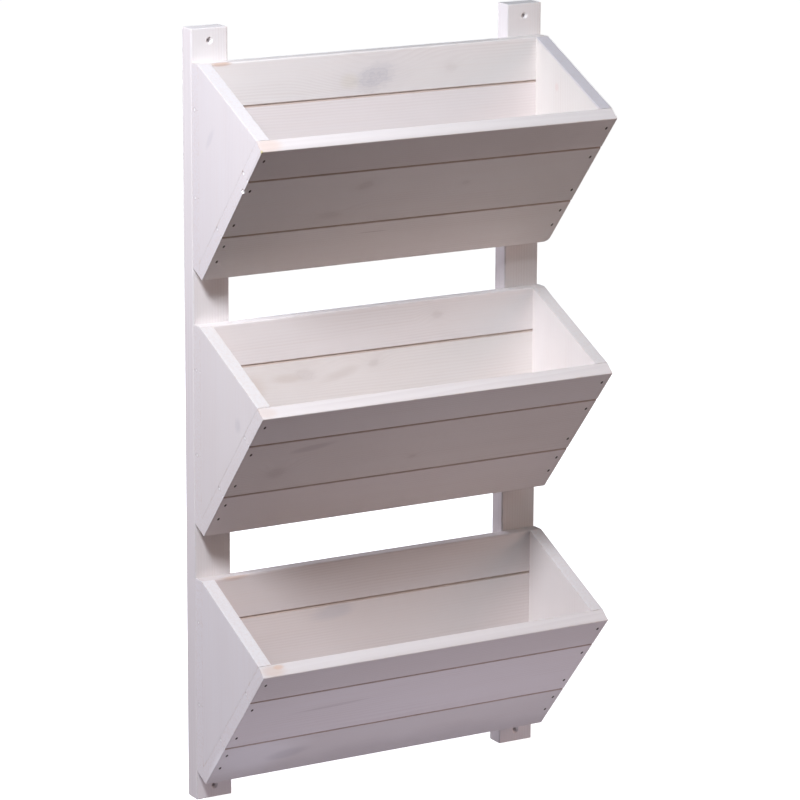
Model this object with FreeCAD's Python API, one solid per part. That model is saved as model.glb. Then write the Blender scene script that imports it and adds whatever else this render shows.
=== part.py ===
import FreeCAD, Part
import math
import os

# A wall planter: three open trough boxes, one above the other, on two upright battens.
# Frame: +X to the right along the wall, +Y into the wall, +Z up. The wall is the plane Y = 0, the
# planter stands in front of it, and the origin is the centre of the four wall-screw holes.

# ---- Driving dimensions, in millimetres ----

# Battens: planed pine, upright, flat against the wall.
BATTEN_WIDTH = 51.0
BATTEN_THICKNESS = 25.0
BATTEN_EDGE_ROUND = 2.0
BATTEN_END_ROUND = 1.5

# Boxes: every front and back board is as long as the planter is wide.
BOX_WIDTH = 508.0
BOARD_THICKNESS = 18.0
BOX_PITCH = 330.0
BATTEN_ABOVE_TOP_BOX = 42.0
BATTEN_BELOW_LAST_BOX = 32.0
BOX_NAMES = ("top", "middle", "bottom")

# Side view of a box, measured from the front of the back boards and down from the top of the box.
SIDE_TOP_RUN = 152.0
SIDE_TOP_FALL = 71.0
TROUGH_DEPTH = 249.0
HEEL_HEIGHT = 17.0

# Widths of the boards that are cut to a width. The lowest board of each panel fills the rest.
FRONT_UPPER_WIDTH = 56.0
FRONT_MIDDLE_WIDTH = 106.0
BACK_UPPER_WIDTH = 57.0
BACK_MIDDLE_WIDTH = 110.0

# Softened edges.
BOARD_EDGE_ROUND = 2.4
RIM_EDGE_ROUND = 1.2
CUT_EDGE_ROUND = 0.8
BOARD_END_ROUND = 0.4
SANDED_CORNER_RADIUS = 9.0
CHIP_RADIUS = 2.6
CHIP_DEPTH = 5.0
CHIP_FROM_BOARD_TOP = 19.0

# Holes for the screws that hold the planter to the wall.
WALL_HOLE_DIAMETER = 5.0
WALL_HOLE_SINK_DIAMETER = 9.6
WALL_HOLE_FROM_END = 16.0

# Brad nails through the front and back boards into the edges of the side panels.
NAIL_DIAMETER = 1.8
NAIL_HEAD_LENGTH = 3.6
NAIL_HEAD_THICKNESS = 1.0
NAIL_POINT_LENGTH = 2.5
NAIL_BITE = 17.0
NAIL_SINK = 0.6
NAIL_INSET = 18.0
NAIL_LOWER_INSET = 23.0
NAIL_POINT_COVER = 3.0

# Countersunk screws from behind, through the battens into the back boards.
SCREW_DIAMETER = 4.0
SCREW_HEAD_DIAMETER = 8.0
SCREW_SINK = 0.5
SCREW_POINT_LENGTH = 4.0
SCREW_POINT_COVER = 8.0
SCREW_RECESS_WIDTH = 1.0
SCREW_RECESS_LENGTH = 4.4
SCREW_RECESS_DEPTH = 1.4

# Room around a nail or screw in the wood, and how blunt their points are.
FASTENER_CLEARANCE = 0.1
POINT_BLUNTNESS = 0.25

# How near two coordinates are to count as the same.
SAME_PLACE = 1e-3

# ---- Places worked out from the dimensions above ----

BOXES_HEIGHT = (len(BOX_NAMES) - 1) * BOX_PITCH + TROUGH_DEPTH + HEEL_HEIGHT
BATTEN_LENGTH = BATTEN_ABOVE_TOP_BOX + BOXES_HEIGHT + BATTEN_BELOW_LAST_BOX
HALF_LENGTH = BATTEN_LENGTH / 2
HALF_WIDTH = BOX_WIDTH / 2
BATTEN_CENTRE_X = HALF_WIDTH - BATTEN_WIDTH / 2
SIDE_CENTRE_X = HALF_WIDTH - BOARD_THICKNESS / 2
SCREW_LENGTH = BATTEN_THICKNESS + BOARD_THICKNESS - SCREW_POINT_COVER - SCREW_SINK
NAIL_LENGTH = BOARD_THICKNESS + NAIL_BITE - NAIL_SINK

# The front leans out at the top: it runs from the front top corner of the side panels down to the
# back boards, which it meets at the bottom of the trough.
LEAN = math.atan2(SIDE_TOP_RUN, TROUGH_DEPTH - SIDE_TOP_FALL)
TOP_SLOPE = SIDE_TOP_FALL / SIDE_TOP_RUN
DOWN_THE_FRONT = (-math.sin(LEAN), math.cos(LEAN))
OUT_OF_THE_FRONT = (math.cos(LEAN), math.sin(LEAN))


def front_point(along, out):
    """Side-view point (depth, drop): along the inner face of the front from its top, then outwards."""
    depth = BOARD_THICKNESS + SIDE_TOP_RUN + along * DOWN_THE_FRONT[0] + out * OUT_OF_THE_FRONT[0]
    drop = SIDE_TOP_FALL + along * DOWN_THE_FRONT[1] + out * OUT_OF_THE_FRONT[1]
    return (depth, drop)


def bottom_cut(depth):
    """Drop of the box's lower edge, which falls towards the front like the top of the side panels."""
    return TROUGH_DEPTH + HEEL_HEIGHT + TOP_SLOPE * (depth - BOARD_THICKNESS)


def front_length():
    """Length of the front's outer face, from the rim down to the bottom cut."""
    rim_depth, rim_drop = front_point(0, BOARD_THICKNESS)
    fall_to_cut = bottom_cut(rim_depth) - rim_drop
    return fall_to_cut / (DOWN_THE_FRONT[1] - TOP_SLOPE * DOWN_THE_FRONT[0])


def to_world(depth, drop, box_top, x=0.0):
    """Point in the part's frame for a side-view point of the box whose top is at height box_top."""
    return FreeCAD.Vector(x, -(BATTEN_THICKNESS + depth), box_top - drop)


def rounded_face(corners, radii):
    """Flat face whose outline runs through the corners, each one rounded by its own radius."""
    starts = []
    ends = []
    middles = []
    count = len(corners)
    for i, corner in enumerate(corners):
        back = (corners[i - 1] - corner).normalize()
        ahead = (corners[(i + 1) % count] - corner).normalize()
        half_angle = back.getAngle(ahead) / 2
        radius = radii[i]
        reach = radius / math.tan(half_angle)
        starts.append(corner + back * reach)
        ends.append(corner + ahead * reach)
        to_centre = (back + ahead).normalize()
        middles.append(corner + to_centre * (radius / math.sin(half_angle) - radius))
    edges = []
    for i in range(count):
        if radii[i] > 0:
            edges.append(Part.Arc(starts[i], middles[i], ends[i]).toShape())
        edges.append(Part.LineSegment(ends[i], starts[(i + 1) % count]).toShape())
    return Part.Face(Part.Wire(edges))


def prism(side_view, radii, box_top, x_start, x_end):
    """Piece with one side-view outline all along its length in X."""
    corners = [to_world(depth, drop, box_top, x_start) for depth, drop in side_view]
    return rounded_face(corners, radii).extrude(FreeCAD.Vector(x_end - x_start, 0, 0))


def edges_in_plane(shape, axis, position):
    """Edges of a shape that lie wholly in the plane where the coordinate 0, 1 or 2 has a value."""
    found = []
    for edge in shape.Edges:
        box = edge.BoundBox
        low = (box.XMin, box.YMin, box.ZMin)[axis]
        high = (box.XMax, box.YMax, box.ZMax)[axis]
        if abs(low - position) < SAME_PLACE and abs(high - position) < SAME_PLACE:
            found.append(edge)
    return found


def soften_ends(board):
    """Take the sharpness off the sawn ends of a board that runs along X."""
    for end in (-HALF_WIDTH, HALF_WIDTH):
        board = board.makeFillet(BOARD_END_ROUND, edges_in_plane(board, 0, end))
    return board


def turned(shape, origin, along, across):
    """Copy of a shape built down -Z, turned to run along one direction with its X along another."""
    z_axis = along * -1
    y_axis = z_axis.cross(across)
    matrix = FreeCAD.Matrix(
        across.x, y_axis.x, z_axis.x, origin.x,
        across.y, y_axis.y, z_axis.y, origin.y,
        across.z, y_axis.z, z_axis.z, origin.z,
        0, 0, 0, 1,
    )
    return shape.transformed(matrix, True)


# ---- Nails and screws, each built with its outer end at the origin and its point down -Z ----

def down(radius, top, length, end_radius=None):
    """Round bar or cone on the Z axis, from the height top down by length."""
    place = FreeCAD.Vector(0, 0, top)
    if end_radius is None:
        return Part.makeCylinder(radius, length, place, FreeCAD.Vector(0, 0, -1))
    return Part.makeCone(radius, end_radius, length, place, FreeCAD.Vector(0, 0, -1))


def slot(length, width, top, depth):
    """Bar with round ends, long in X, from the height top down by depth."""
    straight = length - width
    bar = Part.makeBox(straight, width, depth, FreeCAD.Vector(-straight / 2, -width / 2, top - depth))
    for side in (-1, 1):
        end = Part.makeCylinder(width / 2, depth, FreeCAD.Vector(side * straight / 2, 0, top - depth))
        bar = bar.fuse(end)
    return bar.removeSplitter()


def brad_nail():
    """Brad nail: a thin shank with a narrow oblong head and a point."""
    radius = NAIL_DIAMETER / 2
    head = slot(NAIL_HEAD_LENGTH, NAIL_DIAMETER, 0, NAIL_HEAD_THICKNESS)
    shank = down(radius, 0, NAIL_LENGTH - NAIL_POINT_LENGTH)
    point = down(radius, NAIL_POINT_LENGTH - NAIL_LENGTH, NAIL_POINT_LENGTH, radius * POINT_BLUNTNESS)
    return head.fuse([shank, point]).removeSplitter()


def brad_hole():
    """Hole that a brad nail leaves, open to the face that it was driven through."""
    radius = NAIL_DIAMETER / 2 + FASTENER_CLEARANCE
    mouth_length = NAIL_HEAD_LENGTH + 2 * FASTENER_CLEARANCE
    mouth_depth = NAIL_SINK + NAIL_HEAD_THICKNESS + FASTENER_CLEARANCE
    mouth = slot(mouth_length, 2 * radius, NAIL_SINK, mouth_depth)
    return mouth.fuse(down(radius, 0, NAIL_LENGTH + FASTENER_CLEARANCE)).removeSplitter()


def wood_screw():
    """Countersunk screw with a cross recess in its head."""
    radius = SCREW_DIAMETER / 2
    head_radius = SCREW_HEAD_DIAMETER / 2
    head = down(head_radius, 0, head_radius - radius, radius)
    shank = down(radius, 0, SCREW_LENGTH - SCREW_POINT_LENGTH)
    point = down(radius, SCREW_POINT_LENGTH - SCREW_LENGTH, SCREW_POINT_LENGTH, radius * POINT_BLUNTNESS)
    screw = head.fuse([shank, point]).removeSplitter()
    for length, width in (
        (SCREW_RECESS_LENGTH, SCREW_RECESS_WIDTH),
        (SCREW_RECESS_WIDTH, SCREW_RECESS_LENGTH),
    ):
        corner = FreeCAD.Vector(-length / 2, -width / 2, -SCREW_RECESS_DEPTH)
        screw = screw.cut(Part.makeBox(length, width, 2 * SCREW_RECESS_DEPTH, corner))
    return screw


def screw_hole():
    """Countersunk hole for a wood screw, open to the face that it was driven through."""
    radius = SCREW_DIAMETER / 2 + FASTENER_CLEARANCE
    head_radius = SCREW_HEAD_DIAMETER / 2 + FASTENER_CLEARANCE
    sink = down(head_radius, 0, head_radius - radius, radius)
    mouth = down(head_radius, SCREW_SINK, SCREW_SINK)
    return mouth.fuse([sink, down(radius, 0, SCREW_LENGTH + FASTENER_CLEARANCE)]).removeSplitter()


def wall_hole():
    """Hole through a batten for a wall screw, countersunk at the front."""
    radius = WALL_HOLE_DIAMETER / 2
    sink_radius = WALL_HOLE_SINK_DIAMETER / 2
    through = down(radius, 0, BATTEN_THICKNESS)
    return through.fuse(down(sink_radius, 0, sink_radius - radius, radius)).removeSplitter()


# ---- Where the nails and screws of one box go ----

def front_nail_distances():
    """Distances of the front nails down the face from the rim, the same at both ends."""
    upper_joint = FRONT_UPPER_WIDTH
    lower_joint = FRONT_UPPER_WIDTH + FRONT_MIDDLE_WIDTH
    # The lowest nail is as far down as the narrowing side panel still hides its whole point.
    panel_left = SIDE_TOP_RUN - NAIL_BITE * math.cos(LEAN) - NAIL_POINT_COVER
    lowest = panel_left / math.sin(LEAN)
    return (
        NAIL_INSET,
        upper_joint + NAIL_INSET,
        lower_joint - NAIL_LOWER_INSET,
        lower_joint + NAIL_INSET,
        lowest,
    )


def back_nail_drops():
    """Drops of the back nails below the top of the box, the same at both ends."""
    upper_joint = BACK_UPPER_WIDTH
    lower_joint = BACK_UPPER_WIDTH + BACK_MIDDLE_WIDTH
    return (NAIL_INSET, upper_joint + NAIL_INSET, lower_joint - NAIL_INSET, lower_joint + NAIL_INSET)


def back_screw_drops():
    """Drops of the screws: one in the middle of each back board, for each batten."""
    lower_joint = BACK_UPPER_WIDTH + BACK_MIDDLE_WIDTH
    return (
        BACK_UPPER_WIDTH / 2,
        BACK_UPPER_WIDTH + BACK_MIDDLE_WIDTH / 2,
        (lower_joint + bottom_cut(0)) / 2,
    )


def front_nails(tool, box_top):
    """Copies of a nail or its hole at every front nail of a box."""
    along_slope = FreeCAD.Vector(0, -DOWN_THE_FRONT[0], -DOWN_THE_FRONT[1])
    inwards = FreeCAD.Vector(0, OUT_OF_THE_FRONT[0], OUT_OF_THE_FRONT[1])
    copies = []
    for x in (-SIDE_CENTRE_X, SIDE_CENTRE_X):
        for distance in front_nail_distances():
            depth, drop = front_point(distance, BOARD_THICKNESS - NAIL_SINK)
            copies.append(turned(tool, to_world(depth, drop, box_top, x), inwards, along_slope))
    return copies


def back_nails(tool, box_top):
    """Copies of a nail or its hole at every back nail of a box, driven in from behind."""
    forwards = FreeCAD.Vector(0, -1, 0)
    upright = FreeCAD.Vector(0, 0, 1)
    copies = []
    for x in (-SIDE_CENTRE_X, SIDE_CENTRE_X):
        for drop in back_nail_drops():
            copies.append(turned(tool, to_world(NAIL_SINK, drop, box_top, x), forwards, upright))
    return copies


def batten_screws(tool, box_top):
    """Copies of a screw or its hole where a box is screwed to the two battens from behind."""
    forwards = FreeCAD.Vector(0, -1, 0)
    upright = FreeCAD.Vector(0, 0, 1)
    copies = []
    for x in (-BATTEN_CENTRE_X, BATTEN_CENTRE_X):
        for drop in back_screw_drops():
            seat = FreeCAD.Vector(x, -SCREW_SINK, box_top - drop)
            copies.append(turned(tool, seat, forwards, upright))
    return copies


def box_top_height(index):
    """Height of the top of a box, counted from the topmost box."""
    return HALF_LENGTH - BATTEN_ABOVE_TOP_BOX - index * BOX_PITCH


def cut_holes(piece, tools):
    """Piece without the stretches of the tools that reach into it."""
    reaching = [tool for tool in tools if tool.BoundBox.intersect(piece.BoundBox)]
    for tool in reaching:
        piece = piece.cut(tool)
    return piece


# ---- The wooden pieces ----

def batten(centre_x):
    """Upright batten with eased edges, before its holes are drilled."""
    half = BATTEN_WIDTH / 2
    corners = [
        FreeCAD.Vector(centre_x - half, 0, -HALF_LENGTH),
        FreeCAD.Vector(centre_x + half, 0, -HALF_LENGTH),
        FreeCAD.Vector(centre_x + half, -BATTEN_THICKNESS, -HALF_LENGTH),
        FreeCAD.Vector(centre_x - half, -BATTEN_THICKNESS, -HALF_LENGTH),
    ]
    outline = rounded_face(corners, [BATTEN_EDGE_ROUND] * 4)
    bar = outline.extrude(FreeCAD.Vector(0, 0, BATTEN_LENGTH))
    for end in (-HALF_LENGTH, HALF_LENGTH):
        bar = bar.makeFillet(BATTEN_END_ROUND, edges_in_plane(bar, 2, end))
    return bar


def wall_hole_places(centre_x):
    """Where the two wall screws of a batten go, on its front face."""
    reach = HALF_LENGTH - WALL_HOLE_FROM_END
    return [FreeCAD.Vector(centre_x, -BATTEN_THICKNESS, side * reach) for side in (-1, 1)]


def back_boards(box_top):
    """The three back boards of a box, upper, middle and lower, each over the full width."""
    upper_joint = BACK_UPPER_WIDTH
    lower_joint = BACK_UPPER_WIDTH + BACK_MIDDLE_WIDTH
    front = BOARD_THICKNESS
    levels = {
        "upper": (0, upper_joint, upper_joint),
        "middle": (upper_joint, lower_joint, lower_joint),
        "lower": (lower_joint, bottom_cut(0), bottom_cut(front)),
    }
    boards = {}
    for name, (top, bottom_behind, bottom_in_front) in levels.items():
        side_view = [(0, top), (front, top), (front, bottom_in_front), (0, bottom_behind)]
        foot_round = CUT_EDGE_ROUND if name == "lower" else BOARD_EDGE_ROUND
        radii = [BOARD_EDGE_ROUND, BOARD_EDGE_ROUND, foot_round, foot_round]
        board = prism(side_view, radii, box_top, -HALF_WIDTH, HALF_WIDTH)
        boards[name] = soften_ends(board)
    return boards


def front_boards(box_top):
    """The three leaning front boards of a box, upper, middle and lower, over the full width."""
    upper_joint = FRONT_UPPER_WIDTH
    lower_joint = FRONT_UPPER_WIDTH + FRONT_MIDDLE_WIDTH
    t = BOARD_THICKNESS
    upper = [front_point(0, 0), front_point(0, t), front_point(upper_joint, t), front_point(upper_joint, 0)]
    middle = [
        front_point(upper_joint, 0),
        front_point(upper_joint, t),
        front_point(lower_joint, t),
        front_point(lower_joint, 0),
    ]
    # The lowest board is cut to the slope of the bottom and stands upright against the back boards.
    lower = [
        front_point(lower_joint, 0),
        front_point(lower_joint, t),
        front_point(front_length(), t),
        (t, bottom_cut(t)),
        (t, TROUGH_DEPTH),
    ]
    outlines = {
        "upper": (upper, [RIM_EDGE_ROUND] * 2 + [BOARD_EDGE_ROUND] * 2),
        "middle": (middle, [BOARD_EDGE_ROUND] * 4),
        "lower": (lower, [BOARD_EDGE_ROUND, BOARD_EDGE_ROUND, CUT_EDGE_ROUND, 0, 0]),
    }
    boards = {}
    for name, (side_view, radii) in outlines.items():
        board = prism(side_view, radii, box_top, -HALF_WIDTH, HALF_WIDTH)
        boards[name] = soften_ends(board)
    return boards


def side_panel(box_top, side):
    """Side panel between the back and front boards, side -1 on the left and 1 on the right."""
    side_view = [
        (BOARD_THICKNESS, 0),
        (BOARD_THICKNESS + SIDE_TOP_RUN, SIDE_TOP_FALL),
        (BOARD_THICKNESS, TROUGH_DEPTH),
    ]
    outer = side * HALF_WIDTH
    inner = side * (HALF_WIDTH - BOARD_THICKNESS)
    low, high = sorted((outer, inner))
    panel = prism(side_view, [0, 0, 0], box_top, low, high)
    top_edges = [edge for edge in panel.Edges if is_top_edge(edge, box_top)]
    return panel.makeFillet(CUT_EDGE_ROUND, top_edges)


def is_top_edge(edge, box_top):
    """Whether an edge of a side panel is one of the two that slope along its top."""
    box = edge.BoundBox
    slopes = abs(box.YLength - SIDE_TOP_RUN) < SAME_PLACE
    return slopes and abs(box.ZMax - box_top) < SAME_PLACE


def sand_corner(board, box_top):
    """Round off the lower right corner of the top box's lowest front board."""
    foot = to_world(*front_point(front_length(), BOARD_THICKNESS), box_top, HALF_WIDTH)
    heel = to_world(BOARD_THICKNESS, bottom_cut(BOARD_THICKNESS), box_top, HALF_WIDTH)
    bottom = (heel - foot).normalize()
    outwards = bottom.cross(FreeCAD.Vector(-1, 0, 0))
    down_slope = FreeCAD.Vector(0, -DOWN_THE_FRONT[0], -DOWN_THE_FRONT[1])
    radius = SANDED_CORNER_RADIUS
    reach = 2 * (foot - heel).Length + radius
    across = FreeCAD.Vector(1, 0, 0)
    if outwards.dot(down_slope) < 0:
        outwards = outwards * -1
    # What is taken away is the square corner less the quarter round that stays.
    corner = foot - bottom * reach
    square = Part.Face(Part.makePolygon([
        corner,
        corner - across * radius,
        corner - across * radius - outwards * radius,
        corner - outwards * radius,
        corner,
    ]))
    block = square.extrude(bottom * (2 * reach))
    centre = corner - across * radius - outwards * radius
    keep = Part.makeCylinder(radius, 2 * reach, centre, bottom)
    return board.cut(block.cut(keep))


def chip_edge(board, box_top):
    """Small chip out of the left front edge of the top box's middle front board."""
    depth, drop = front_point(FRONT_UPPER_WIDTH + CHIP_FROM_BOARD_TOP, BOARD_THICKNESS)
    centre = to_world(depth, drop, box_top, -HALF_WIDTH)
    inwards = FreeCAD.Vector(0, OUT_OF_THE_FRONT[0], OUT_OF_THE_FRONT[1])
    return board.cut(Part.makeCylinder(CHIP_RADIUS, 2 * CHIP_DEPTH, centre - inwards * CHIP_DEPTH, inwards))


# ---- The whole planter ----

def build():
    """All pieces by the name of their node."""
    nodes = {}
    nail = brad_nail()
    nail_hole = brad_hole()
    screw = wood_screw()
    hole_for_screw = screw_hole()
    all_screw_holes = []

    for index, name in enumerate(BOX_NAMES):
        box_top = box_top_height(index)
        screw_holes = batten_screws(hole_for_screw, box_top)
        all_screw_holes += screw_holes
        front_holes = front_nails(nail_hole, box_top)
        back_holes = back_nails(nail_hole, box_top)

        backs = back_boards(box_top)
        fronts = front_boards(box_top)
        if name == "top":
            fronts["lower"] = sand_corner(fronts["lower"], box_top)
            fronts["middle"] = chip_edge(fronts["middle"], box_top)
        for level, board in backs.items():
            nodes[f"{name}_box_back_{level}_board"] = cut_holes(board, back_holes + screw_holes)
        for level, board in fronts.items():
            nodes[f"{name}_box_front_{level}_board"] = cut_holes(board, front_holes)
        for side_name, side in (("left", -1), ("right", 1)):
            panel = side_panel(box_top, side)
            nodes[f"{name}_box_{side_name}_side"] = cut_holes(panel, front_holes + back_holes)

        nodes[f"{name}_box_front_nails"] = Part.makeCompound(front_nails(nail, box_top))
        nodes[f"{name}_box_back_nails"] = Part.makeCompound(back_nails(nail, box_top))
        nodes[f"{name}_box_screws"] = Part.makeCompound(batten_screws(screw, box_top))

    for name, centre_x in (("left", -BATTEN_CENTRE_X), ("right", BATTEN_CENTRE_X)):
        holes = [
            turned(wall_hole(), place, FreeCAD.Vector(0, 1, 0), FreeCAD.Vector(0, 0, 1))
            for place in wall_hole_places(centre_x)
        ]
        nodes[f"{name}_batten"] = cut_holes(batten(centre_x), holes + all_screw_holes)
    return nodes


def main():
    os.makedirs("parts", exist_ok=True)
    for name, shape in sorted(build().items()):
        shape.exportStep(f"parts/{name}.step")
        print(f"{name}: {len(shape.Solids)} solid(s), {shape.Volume / 1000:.2f} cm3, valid {shape.isValid()}")
    print(f"front leans {math.degrees(LEAN):.1f} degrees, lowest front board ends at {front_length():.1f} mm")


main()
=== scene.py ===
"""Looks of a wall planter: three open trough boxes of white-glazed pine on two upright battens.

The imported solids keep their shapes. Every wooden piece gets its own glazed-pine material, worked
out in the piece's own directions: along the grain, across it, and into the wood. Lengths are in
metres.
"""

import logging
import math
from collections.abc import Mapping, Sequence
from dataclasses import dataclass, replace
from enum import Enum

import bpy
import numpy as np
from mathutils import Matrix, Vector


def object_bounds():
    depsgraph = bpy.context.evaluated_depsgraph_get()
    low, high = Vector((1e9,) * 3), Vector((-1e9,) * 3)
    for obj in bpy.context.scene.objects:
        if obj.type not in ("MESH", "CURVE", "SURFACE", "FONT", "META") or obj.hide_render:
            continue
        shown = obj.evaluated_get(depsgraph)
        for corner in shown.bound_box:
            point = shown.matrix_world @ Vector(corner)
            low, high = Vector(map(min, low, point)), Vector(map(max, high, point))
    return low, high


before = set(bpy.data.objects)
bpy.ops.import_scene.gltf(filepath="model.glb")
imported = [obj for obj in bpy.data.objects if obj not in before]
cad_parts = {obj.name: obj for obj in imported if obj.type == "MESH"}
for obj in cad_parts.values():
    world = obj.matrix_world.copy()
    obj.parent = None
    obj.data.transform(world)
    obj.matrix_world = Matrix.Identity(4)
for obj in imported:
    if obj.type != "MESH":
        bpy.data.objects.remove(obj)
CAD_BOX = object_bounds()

LOG = logging.getLogger("wall_planter")

Point = tuple[float, float, float]
Colour = tuple[float, float, float, float]
Step = tuple[float, float]

# The planter's outer sides and the battens' ends, from the frame.
HALF_WIDTH = round(CAD_BOX[1][0], 4)
HALF_LENGTH = round(CAD_BOX[1][2], 4)
BATTEN_WIDTH = 0.051
BATTEN_THICKNESS = 0.025
TOP_RIM_BELOW_BATTENS = 0.042
BOX_PITCH = 0.330

# Radius of a form that has no end in that direction.
ENDLESS = 1e6
# No two pieces read their noise at the same place: a piece's place lies this way and this far for
# each unit of its seed, and the seeds within a box differ by this much.
DRIFT_WAY = (1.0, 0.7, 1.3)
DRIFT_PER_SEED = 7.31
SEED_PER_PIECE = 0.37


def tone(red: float, green: float, blue: float) -> Colour:
    """Turn a colour as a screen shows it into the linear light that a shader takes.

    Args:
        red: Red, 0 to 255.
        green: Green, 0 to 255.
        blue: Blue, 0 to 255.

    Returns:
        The linear colour with an alpha of one.
    """
    shares = np.array([red, green, blue]) / 255.0
    linear = np.where(shares <= 0.04045, shares / 12.92, ((shares + 0.055) / 1.055) ** 2.4)
    return (float(linear[0]), float(linear[1]), float(linear[2]), 1.0)


# ---- Shader maths ----

class Term:
    """A number that a shader works out at every point, written in Python as an ordinary value."""

    def __init__(self, recipe: "Recipe", socket: bpy.types.NodeSocket) -> None:
        """Wrap one output socket of a recipe's node tree.

        Args:
            recipe: The recipe that the socket belongs to.
            socket: The output socket.
        """
        self.recipe = recipe
        self.socket = socket

    def __add__(self, other: "Term | float") -> "Term":
        """Sum."""
        return self.recipe.maths("ADD", self, other)

    def __radd__(self, other: float) -> "Term":
        """Sum with a plain number on the left."""
        return self.recipe.maths("ADD", other, self)

    def __sub__(self, other: "Term | float") -> "Term":
        """Difference."""
        return self.recipe.maths("SUBTRACT", self, other)

    def __rsub__(self, other: float) -> "Term":
        """Difference with a plain number on the left."""
        return self.recipe.maths("SUBTRACT", other, self)

    def __mul__(self, other: "Term | float") -> "Term":
        """Product."""
        return self.recipe.maths("MULTIPLY", self, other)

    def __rmul__(self, other: float) -> "Term":
        """Product with a plain number on the left."""
        return self.recipe.maths("MULTIPLY", other, self)

    def __truediv__(self, other: "Term | float") -> "Term":
        """Quotient."""
        return self.recipe.maths("DIVIDE", self, other)

    def __abs__(self) -> "Term":
        """Size without its sign."""
        return self.recipe.maths("ABSOLUTE", self)

    def fraction(self) -> "Term":
        """What is left of the term after its whole part."""
        return self.recipe.maths("FRACT", self)

    def at_least(self, other: "Term | float") -> "Term":
        """The larger of the two."""
        return self.recipe.maths("MAXIMUM", self, other)

    def rise(self, start: float, end: float) -> "Term":
        """Smooth step from 0 at the start to 1 at the end.

        Args:
            start: Value of the term where the step begins.
            end: Value of the term where the step is complete.

        Returns:
            The step, 0 to 1.
        """
        return self.recipe.step(self, start, end, 0.0, 1.0)

    def fall(self, start: float, end: float) -> "Term":
        """Smooth step from 1 at the start to 0 at the end.

        Args:
            start: Value of the term where the step begins.
            end: Value of the term where the step is complete.

        Returns:
            The step, 1 to 0.
        """
        return self.recipe.step(self, start, end, 1.0, 0.0)


Input = Term | bpy.types.NodeSocket | float | Sequence[float]


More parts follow.
